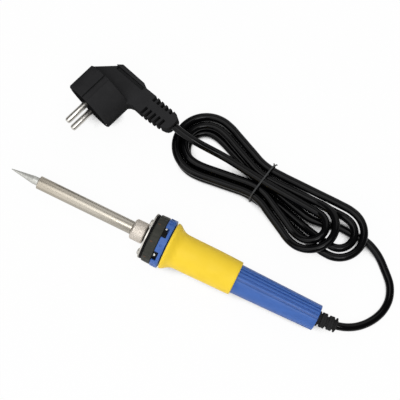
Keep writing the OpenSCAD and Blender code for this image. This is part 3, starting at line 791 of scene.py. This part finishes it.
@dataclass
class Dial:
    """Collar that sets the heat, with its wiper, bearing and track. Sizes in millimetres."""

    start: float = 108.6
    end: float = 115.2
    skirt_end: float = 117.4
    bore: float = 15.2
    skirt: float = 16.4
    radius: float = 17.5
    flutes: int = 20
    flute_depth: float = 0.25
    flute_share: float = 0.36
    flute_phase: float = 0.25
    flute_end: float = 0.8
    wall_from: float = 0.2
    wall_rise: float = 0.6
    wall_steps: int = 14
    corner_steps: int = 4
    columns: int = 480

    def collar(self) -> bpy.types.Object:
        """Builds the collar.

        Formula: a closed profile turned about the axis, and on its outer wall the radius
        drops by a cosine dip at each flute that runs out before the rear edge.

        Returns:
            The linked collar.
        """
        front, rear, wall_at = self.start, self.end, 3 * self.corner_steps
        outline = rounded([
            (front, self.bore, 0.15), (front, self.radius - 0.7, 0.3),
            (front + 0.55, self.radius - 0.2, 0.3), (rear - 1.4, self.radius - 0.02, 0.3),
            (rear - 0.3, self.radius, 0.2), (rear, self.radius - 0.3, 0.15),
            (rear, self.skirt, 0.1), (self.skirt_end, self.skirt, 0.15),
            (self.skirt_end, self.bore, 0.15)], self.corner_steps)
        wall = np.linspace((front + 0.9, self.radius - 0.185), (rear - 1.75, self.radius - 0.03),
                           self.wall_steps)
        profile = np.vstack([outline[:wall_at], wall, outline[wall_at:]])
        station, radii = spread(profile, self.columns)
        turn = np.arange(self.columns) / self.columns * self.flutes
        offset = np.abs(turn - np.floor(turn) - self.flute_phase) / self.flute_share
        dip = np.where(offset < 1.0, 0.5 + 0.5 * np.cos(np.pi * offset), 0.0)
        reach = np.clip(rear - self.flute_end - station, 0.0, 1.0)
        outer = np.clip((radii - self.skirt - self.wall_from) / self.wall_rise, 0.0, 1.0)
        radii = radii - self.flute_depth * dip * reach * outer
        return turned_piece("dial_collar", station, radii, sharp_degrees=45.0)

    def build(self) -> None:
        """Builds the collar and dresses the pieces that it works with."""
        settle(self.collar(), "dial", "dial_grey", DIAL_COLLAR, "dial_ring")
        finish_nodes({
            "dial_wiper": WIPER_BRASS, "dial_hub": HUB_MOULDING, "track_board": TRACK_PAPER,
            "track_leads": TRACK_LEAD_PVC}, {})


@dataclass
class Handle:
    """Blue shell and the foam grip that is pulled over it. Sizes in millimetres."""

    tube: float = 10.7
    grip_start: float = 121.8
    grip_end: float = 173.8
    lip: float = 17.0
    wave: float = 0.05
    wave_from: float = 0.3
    wall_step: float = 0.55
    shell_edge: float = 0.12
    corner_steps: int = 6
    columns: int = 144
    outline: tuple[tuple[float, float], ...] = (
        (123.4, 16.9), (124.2, 16.5), (125.0, 15.98), (126.0, 15.2), (127.0, 14.45),
        (128.0, 13.87), (129.0, 13.43), (130.0, 13.13), (131.2, 12.95), (133.5, 12.85),
        (140.0, 12.76), (148.0, 12.63), (156.0, 12.5), (164.0, 12.37), (170.0, 12.27))

    def grip(self) -> bpy.types.Object:
        """Builds the grip.

        Formula: a closed profile turned about the axis. The outer wall is a smooth curve
        through the outline, the ends are rounded, and two long waves a tenth of a millimetre
        from trough to crest keep the foam from looking machined.

        Returns:
            The linked grip.
        """
        start, end, lip, steps = self.grip_start, self.grip_end, self.lip, self.corner_steps
        front = rounded([(start, self.tube, 0.3), (start, lip - 0.02, 0.35),
                         (start + 0.9, lip, 0.2)], steps)[:-steps // 2]
        back = rounded([(end - 1.6, 12.25, 0.5), (end, 12.12, 1.0), (end, self.tube, 0.4)],
                       steps)[steps // 2:]
        knots = np.array([(start + 0.95, lip), (start + 1.2, lip - 0.02), *self.outline,
                          (end - 1.8, 12.24)])
        wall = spline(np.pad(knots, ((0, 0), (0, 1))), self.wall_step)[:, :2]
        station, radii = spread(np.vstack([front, wall, back]), self.columns)
        angle = angles(self.columns)
        share = np.clip(radii - self.tube - self.wave_from, 0.0, 1.0)
        waves = (self.wave * np.sin(3 * angle + station / 6.0)
                 + self.wave * np.sin(2 * angle - station / 9.0))
        return turned_piece("foam_grip_moulded", station, radii + share * waves, sharp_degrees=60.0)

    def build(self) -> None:
        """Builds the grip and dresses the shell."""
        grip = self.grip()
        settle(grip, "handle", "yellow_foam", GRIP_FOAM, "foam_grip")
        finish_nodes({"handle_shell": SHELL_NYLON}, {"handle_shell": self.shell_edge})


@dataclass
class Inside:
    """Board, its components and the wires inside the handle."""

    edge: float = 0.2

    def build(self) -> None:
        """Dresses the pieces inside the handle."""
        finish_nodes({
            "control_board": BOARD_EPOXY, "triac": TRIAC_EPOXY,
            "film_capacitor": CAPACITOR_EPOXY, "resistor": RESISTOR_LACQUER,
            "live_wire": LIVE_PVC, "neutral_wire": NEUTRAL_PVC, "earth_wire": EARTH_PVC,
            "cord_anchor": ANCHOR_NYLON}, {"film_capacitor": self.edge})


def ease(share: Points) -> Points:
    """Gives an eased step from 0 to 1.

    Formula: a parabola over the first and the last fifth, and a straight line between them.

    Args:
        share: Shares of the way, cut off below 0 and above 1.

    Returns:
        The step's height at each share.
    """
    bend = 0.2
    scale = 2 * (bend - bend**2)
    v = np.clip(share, 0.0, 1.0)
    line = (v - bend / 2) / (1 - bend)
    return np.where(v < bend, v * v / scale,
                    np.where(v > 1 - bend, 1.0 - (1.0 - v) ** 2 / scale, line))


@dataclass
class MainsCord:
    """Cord from the boot through the tied hank to the plug. Sizes in millimetres.

    The hank has four loops, which spiral out in the lower layer and in again in the upper
    one. Whole numbers of t are loops: a run, the left turn, the run back, the right turn.
    An eased step is a start and a length along the hank, after its height where it has one.
    """

    diameter: float = 5.7
    sides: int = 20
    step: float = 1.5
    start_station: float = 222.5
    boot_start: float = 235.4
    boot_length: float = 14.6
    boot_knot: float = 8.0
    boot_turn: float = np.radians(4.5)
    boot_edge: float = 0.15
    hank_turn: float = np.radians(-8.0)
    plug_turn: float = np.radians(-22.7)
    plug_height: float = 19.845
    plug_lean: float = np.radians(6.0)
    plug_back: float = 223.5
    plug_aside: float = 66.9
    relief_end: tuple[float, float] = (52.8, 34.7)
    relief_slant: float = np.radians(8.0)
    hank_back: float = 90.15
    hank_aside: float = 70.1
    floor_gap: float = 0.75
    loops: int = 4
    loop_steps: int = 48
    loop_slack: float = 1e-6
    loop_start: float = 0.6
    loop_pitch: float = 6.7
    layer_step: float = 6.6
    turn_back: float = 2.0
    left_lobe: float = 47.5
    right_lobe: float = 65.0
    right_top_lobe: float = 46.0
    left_flare: float = 10.0
    left_top_flare: float = 10.5
    right_flare: float = 5.0
    right_top_flare: float = 9.5
    low_shift: float = 2.0
    right_top_shift: float = -6.0
    early_end: float = 2.3
    rise: tuple[float, float, float] = (8.7, 44.0, 30.0)
    dip: tuple[float, float, float] = (3.1, 4.0, 38.0)
    waist_fade: tuple[float, float] = (25.0, 40.0)
    over_tail: tuple[float, float] = (36.0, 32.0)
    tail_end: float = 78.0
    tail_side: float = 7.1
    tail_slope: float = 0.09
    lead_side: float = 1.6
    lead_rise: float = 4.2
    lead_steps: int = 9
    tie_width: float = 1.2
    tie_thickness: float = 0.6
    tie_gap: float = 0.6
    tie_slant: float = 0.06
    tie_sides: int = 12
    tie_corner_steps: int = 14
    tie_uv_girth: float = 5.0
    strand_uv_girth: float = 3.0
    strand_sides: int = 8
    strand_steps: int = 40
    strand_turns: float = 1.6
    strand_offset: float = 0.5
    strand_start: tuple[float, float] = (1.2, 9.0)

    def on_boot(self, length: float) -> Points:
        """Gives the point so far along the boot, which the cord draws aside."""
        return on_iron(np.array([self.boot_start + length * np.cos(self.boot_turn),
                                 length * np.sin(self.boot_turn), 0.0]))

    @property
    def exit(self) -> Points:
        """Where the cord leaves the boot."""
        return self.on_boot(self.boot_length)

    @property
    def low(self) -> float:
        """Height of the lower layer's middle."""
        return self.diameter / 2 + self.floor_gap

    @property
    def top(self) -> float:
        """Height of the upper layer's middle."""
        return self.low + self.layer_step

    @property
    def lead_height(self) -> float:
        """Height of the run that lies on top of the hank."""
        return self.top + self.lead_rise

    def half_width(self, t: Points) -> Points:
        """Half the distance between the two runs of a loop, at the hank's waist."""
        return self.loop_start + self.loop_pitch * np.where(
            t < self.turn_back, t, 2 * self.turn_back - t)

    def loop_points(self, t: Points) -> Points:
        """Gives points of the loops in the hank's own frame.

        Formula: each run widens by an eased step from the waist to its lobe, each turn is a
        half circle, and the height rises by an eased step where a loop passes over the tail.
        The lower layer lies to one side at the waist, under the gaps of the upper one, and
        its first run dips under the upper layer's turns before it rises to the tail.

        Args:
            t: Loops passed, from 0.

        Returns:
            Points in millimetres, one a row: along the hank, across it, and up.
        """
        early, lower = t < self.early_end, t < self.turn_back
        lobe = np.where(early, self.right_lobe, self.right_top_lobe)
        shift = np.where(early, 0.0, self.right_top_shift)
        flare = np.where(early, self.right_flare, self.right_top_flare)
        left_flare = np.where(lower, self.left_flare, self.left_top_flare)
        waist = np.where(lower, self.low_shift, 0.0)
        width = self.half_width(t)
        u = t - np.floor(t)
        way = np.where(u < 0.25, 4 * u, 3 - 4 * u)
        side = np.where(u < 0.25, 1.0, -1.0)
        run = np.where(way < 0.5, lobe, self.left_lobe) * (1 - 2 * way)
        rise, dip = (size * ease((run - start) / length)
                     for size, start, length in (self.rise, self.dip))
        first = rise - dip
        fade = ease((run - self.waist_fade[0]) / self.waist_fade[1])
        right = (side * flare + shift) * ease(run / lobe) - waist * fade
        left = (side * left_flare + self.low_shift - waist) * ease(-run / self.left_lobe)
        across = side * width + waist + np.where(
            run > 0, np.where(t < 0.25, first, right), left)
        spin_left = np.radians(90 + 180 * (4 * u - 1))
        spin_right = np.radians(-90 + 180 * (4 * u - 3))
        left_r, right_r = left_flare + width, flare + width
        on_left, on_right = (u >= 0.25) & (u < 0.5), u >= 0.75
        p = np.select([on_left, on_right], [-self.left_lobe + left_r * np.cos(spin_left),
                                            lobe + right_r * np.cos(spin_right)], run)
        q = np.select([on_left, on_right], [self.low_shift + left_r * np.sin(spin_left),
                                            shift + right_r * np.sin(spin_right)], across)
        over = ease((p - self.over_tail[0]) / self.over_tail[1]) * self.layer_step
        z = np.select([t < 0.5, lower, t < self.turn_back + 0.5],
                      [np.full_like(p, self.low), self.low + over, np.full_like(p, self.top)],
                      self.top + over)
        return np.stack([p, q, z], axis=1)

    def from_hank(self, points: Points) -> Points:
        """Takes points of the hank's own frame to the shared frame.

        Args:
            points: Points in millimetres, the last axis along, across and up.

        Returns:
            The same points in the shared frame.
        """
        origin = np.array([self.exit[0] - self.hank_back, self.hank_aside, 0.0])
        x, y = rotated(points[..., 0], points[..., 1], self.hank_turn)
        return origin + np.stack([x, y, points[..., 2]], axis=-1)

    def off_relief(self, length: float) -> Points:
        """Gives the point so far out of the strain relief of the plug, which leans forward.

        Args:
            length: Way from the relief's end, in millimetres. Below 0 it is inside.

        Returns:
            The point in the shared frame, in millimetres.
        """
        x = self.relief_end[0] + length * np.cos(self.relief_slant)
        y = self.relief_end[1] + length * np.sin(self.relief_slant)
        level, rise = y * np.cos(self.plug_lean), y * np.sin(self.plug_lean)
        along, aside = rotated(x, level, self.plug_turn)
        return np.array([self.exit[0] - self.plug_back + along, self.plug_aside + aside,
                         self.plug_height + rise])

    def lead_curve(self, start: Points, ahead: Points) -> Points:
        """Gives the lead's points from the hank to the plug.

        Formula: a cubic from one straight end to the other.

        Args:
            start: Where the curve begins, in millimetres.
            ahead: The cord's direction there.

        Returns:
            Points in millimetres, one a row, without the first.
        """
        stop = self.off_relief(self.diameter)
        span = float(np.linalg.norm(stop - start))
        inward = (self.off_relief(0.0) - stop) / self.diameter
        u = np.linspace(0.0, 1.0, self.lead_steps + 1)[1:, None]
        return cubic(start, stop, ahead * span, inward * span, u)

    def route(self) -> Points:
        """Gives the cord's middle line from inside the boot to the plug.

        Formula: one smooth curve through the free stretches' points and the hank's loops.

        Returns:
            Points in millimetres, one a row.
        """
        t = np.arange(self.loops * self.loop_steps + 1) / self.loop_steps
        loops = self.loop_points(np.minimum(t, self.loops - self.loop_slack))
        last = loops[-1]
        off = np.array([self.diameter, 0.0, -self.diameter])
        tail = np.stack([self.tail_end + off, self.tail_side + self.tail_slope * off,
                         np.full(3, self.low)], axis=1)
        lead_p = np.array([37.0, 28.0, 19.0, 10.0, 0.0, -14.3, -20.0, -25.7])
        share = ease(1 - lead_p / self.right_top_lobe)
        lead = np.stack([lead_p, last[1] + (self.lead_side - last[1]) * share,
                         last[2] + (self.lead_height - last[2]) * share], axis=1)
        inside = on_iron(np.array([self.start_station, 0.0, 0.0]))
        out = np.vstack([inside, self.on_boot(0.0), self.on_boot(self.boot_knot), self.exit])
        bow = self.exit + np.array([
            [5.2, 1.6, -0.8], [12.7, 6.0, -2.5], [20.5, 14.6, -4.0], [24.9, 24.5, -4.9],
            [25.5, 33.3, -5.2], [22.6, 42.3, -5.2], [14.6, 51.7, -5.2], [4.7, 60.3, -5.0]])
        hank = self.from_hank(np.vstack([tail, loops, lead]))
        ahead = (hank[-1] - hank[-2]) / np.linalg.norm(hank[-1] - hank[-2])
        knots = np.vstack([out, bow, hank, self.lead_curve(hank[-1], ahead),
                           self.off_relief(-1.0)])
        return spline(knots, self.step)

    def tie(self) -> bpy.types.Object:
        """Builds the twist tie.

        Formula: a flat rounded profile carried round the hank's waist on a rounded box, and
        two strands whose offsets from one line are a sine and a cosine, so that they wind
        round each other before they part.

        Returns:
            The linked tie.
        """
        back, out = self.half_width(self.turn_back + np.array([0.625, 0.125])).tolist()
        low = -back - self.diameter / 2 - self.tie_gap
        high = out + self.diameter / 2 + self.tie_gap
        crown = self.lead_height + self.diameter / 2 + self.tie_gap
        box = rounded([(low, 0.5, 3.0), (high, 0.5, 3.0), (high, crown, 8.5),
                       (low, crown, 8.5)], self.tie_corner_steps)
        loop = np.stack([self.tie_slant * (box[:, 0] - low), box[:, 0], box[:, 1]], axis=1)
        ahead = unit(np.roll(loop, -1, axis=0) - np.roll(loop, 1, axis=0))
        along = unit(np.array([1.0, 0.0, 0.0]) - ahead * ahead[:, :1])
        outward = np.cross(along, ahead)
        band = oval(self.tie_width, self.tie_thickness, self.tie_sides, power=0.6)
        ring = (loop[:, None] + along[:, None] * band[None, :, :1]
                + outward[:, None] * band[None, :, 1:])
        grids: list[Grid] = [(self.from_hank(ring), True, True)]
        uvs = [run_uv(loop, self.tie_uv_girth, self.tie_sides, closed=True)]
        u = np.linspace(0.0, 1.0, self.strand_steps)
        part = np.clip((u - 0.55) / 0.45, 0.0, 1.0) ** 1.5
        spin = u * self.strand_turns * TURN
        first_x, first_z = self.strand_start
        for wind, ends in ((self.strand_offset, (2.6, 3.0, 8.2)),
                           (-self.strand_offset, (-0.2, 2.7, 7.4))):
            x = first_x + wind * np.cos(spin) * (1 - part) + part * (ends[0] - first_x)
            y = high - 0.4 + u * ends[1]
            z = first_z + wind * np.sin(spin) * (1 - part) + part * (ends[2] - first_z)
            strand = self.from_hank(np.stack([x, y, z], axis=1))
            wire = oval(1.0, 0.7, self.strand_sides)
            grids.append((swept(strand, wire, spin), False, True))
            uvs.append(run_uv(strand, self.strand_uv_girth, self.strand_sides))
        return piece("cord_tie_twisted", grids, uvs)

    def build(self) -> None:
        """Builds the cord and its tie, and dresses the boot."""
        path = self.route()
        tube = swept(path, oval(self.diameter, self.diameter, self.sides))
        cord = piece("mains_cord", [(tube, False, True)],
                     [run_uv(path, np.pi * self.diameter, self.sides)], sharp_degrees=60.0)
        settle(cord, "handle", "cord_pvc", CORD_PVC, "cord_tail", "cord_hank", "cord_lead")
        tie = self.tie()
        settle(tie, "handle", "tie_black", TIE_PAPER, "cord_tie")
        (self.exit * MM).tolist()
        finish_nodes({"cord_boot": BOOT_RUBBER}, {"cord_boot": self.boot_edge})


@dataclass
class MainsPlug:
    """Moulded plug with two pins and side contacts."""

    edge: float = 0.15
    strip_edge: float = 0.2

    def build(self) -> None:
        """Dresses the plug's CAD nodes."""
        finish_nodes({"plug_body": PLUG_PVC, "pin_carrier": CARRIER_NYLON,
                      "plug_pins": PIN_NICKEL, "earth_strips": PIN_NICKEL},
                     {"plug_body": self.edge, "plug_pins": self.edge,
                      "earth_strips": self.strip_edge})


@dataclass(frozen=True)
class Lamp:
    """Square soft lamp: its place and size in metres, and its power in watts."""

    name: str
    at: tuple[float, float, float]
    size: float
    power: float


@dataclass
class Studio:
    """Camera, pale floor and soft light. Sizes in metres."""

    look_at: tuple[float, float, float] = (0.006962, 0.043529, 0.0)
    eye: tuple[float, float, float] = (0.102562, -0.155171, 0.769)
    lens_mm: float = 100.49
    sensor_mm: float = 36.0
    lamps: tuple[Lamp, ...] = (
        Lamp("key", (0.57, -0.48, 1.28), 0.4, 4.0), Lamp("front", (-0.4, -1.35, 0.7), 1.5, 9.9),
        Lamp("back", (0.0, 1.1, 0.8), 1.3, 5.0), Lamp("top", (-0.05, -0.25, 1.5), 1.3, 11.3))
    world_strength: float = 0.15
    floor_half: float = 4.0
    floor_drop: float = 0.0002
    paper: tuple[float, float, float, float] = (0.92, 0.92, 0.92, 1.0)
    glow_share: float = 0.95
    mirrored_share: float = 0.5
    # Reach and range of the painted shade that dims the floor's glow in nooks
    nook: float = 0.014
    nook_range: tuple[float, float] = (0.25, 0.5)

    def aim(self, name: str, data: bpy.types.ID, at: Sequence[float]) -> bpy.types.Object:
        """Puts a camera or a lamp in its place, facing the object.

        Args:
            name: Name of the new object.
            data: The camera or the lamp.
            at: Its place, in metres.

        Returns:
            The linked object.
        """
        made = bpy.data.objects.new(name, data)
        made.location = at
        ahead = Vector(self.look_at) - Vector(at)
        made.rotation_euler = ahead.to_track_quat("-Z", "Y").to_euler()
        bpy.context.scene.collection.objects.link(made)
        return made

    def floor(self) -> None:
        """Lays a white floor that glows to the camera, with painted shade in nooks, and keeps the
        shadow.
        """
        h = self.floor_half
        mesh = bpy.data.meshes.new("floor")
        mesh.from_pydata([(-h, -h, 0), (h, -h, 0), (h, h, 0), (-h, h, 0)], [], [(0, 1, 2, 3)])
        floor = bpy.data.objects.new("floor", mesh)
        floor.location = (0.0, 0.0, -self.floor_drop)
        material = bpy.data.materials.new("white_paper_roll")
        material.use_nodes = True
        tree = material.node_tree
        tree.nodes.clear()
        path = add(tree, "LightPath")
        mirrored = add(tree, "Math", {
            0: path.outputs["Is Glossy Ray"], 1: path.outputs["Is Transmission Ray"]},
            operation="MAXIMUM")
        reflected = add(tree, "Math", {
            0: mirrored.outputs[0], 1: self.mirrored_share}, operation="MULTIPLY")
        share = add(tree, "Math", {
            0: path.outputs["Is Camera Ray"], 1: self.glow_share, 2: reflected.outputs[0]},
            operation="MULTIPLY_ADD")
        matt = add(tree, "BsdfDiffuse", {"Color": self.paper})
        # Painted shade: the glow drops where the floor is hemmed in by the object
        nook = add(tree, "AmbientOcclusion", {"Distance": self.nook}, samples=8)
        open_share = add(tree, "MapRange", {
            "Value": nook.outputs["AO"], "From Min": self.nook_range[0],
            "From Max": self.nook_range[1]})
        glow = add(tree, "Emission", {"Color": WHITE, "Strength": open_share.outputs["Result"]})
        both = add(tree, "MixShader", {
            0: share.outputs[0], 1: matt.outputs[0], 2: glow.outputs[0]})
        add(tree, "OutputMaterial", {"Surface": both.outputs[0]})
        mesh.materials.append(material)
        bpy.context.scene.collection.objects.link(floor)

    def build(self) -> None:
        """Sets camera, floor, lamps, world and view transform."""
        scene = bpy.context.scene
        view = bpy.data.cameras.new("camera")
        view.lens = self.lens_mm
        view.sensor_width = self.sensor_mm
        scene.camera = self.aim("camera", view, self.eye)
        self.floor()
        for lamp in self.lamps:
            light = bpy.data.lights.new(lamp.name, "AREA")
            light.size = lamp.size
            light.energy = lamp.power
            self.aim(lamp.name, light, lamp.at)
        world = bpy.data.worlds.new("studio")
        world.use_nodes = True
        glow = world.node_tree.nodes["Background"].inputs
        glow["Color"].default_value = WHITE
        glow["Strength"].default_value = self.world_strength
        scene.world = world
        scene.view_settings.view_transform = "Standard"


def main() -> None:
    """Builds the studio and every sub-assembly in order."""
    logging.basicConfig(level=logging.INFO, format="%(message)s")
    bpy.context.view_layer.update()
    for part in (Studio(), MainsCord(), HotEnd(), Flange(), Dial(), Handle(), Inside(),
                 MainsPlug()):
        part.build()


if __name__ == "__main__":
    main()
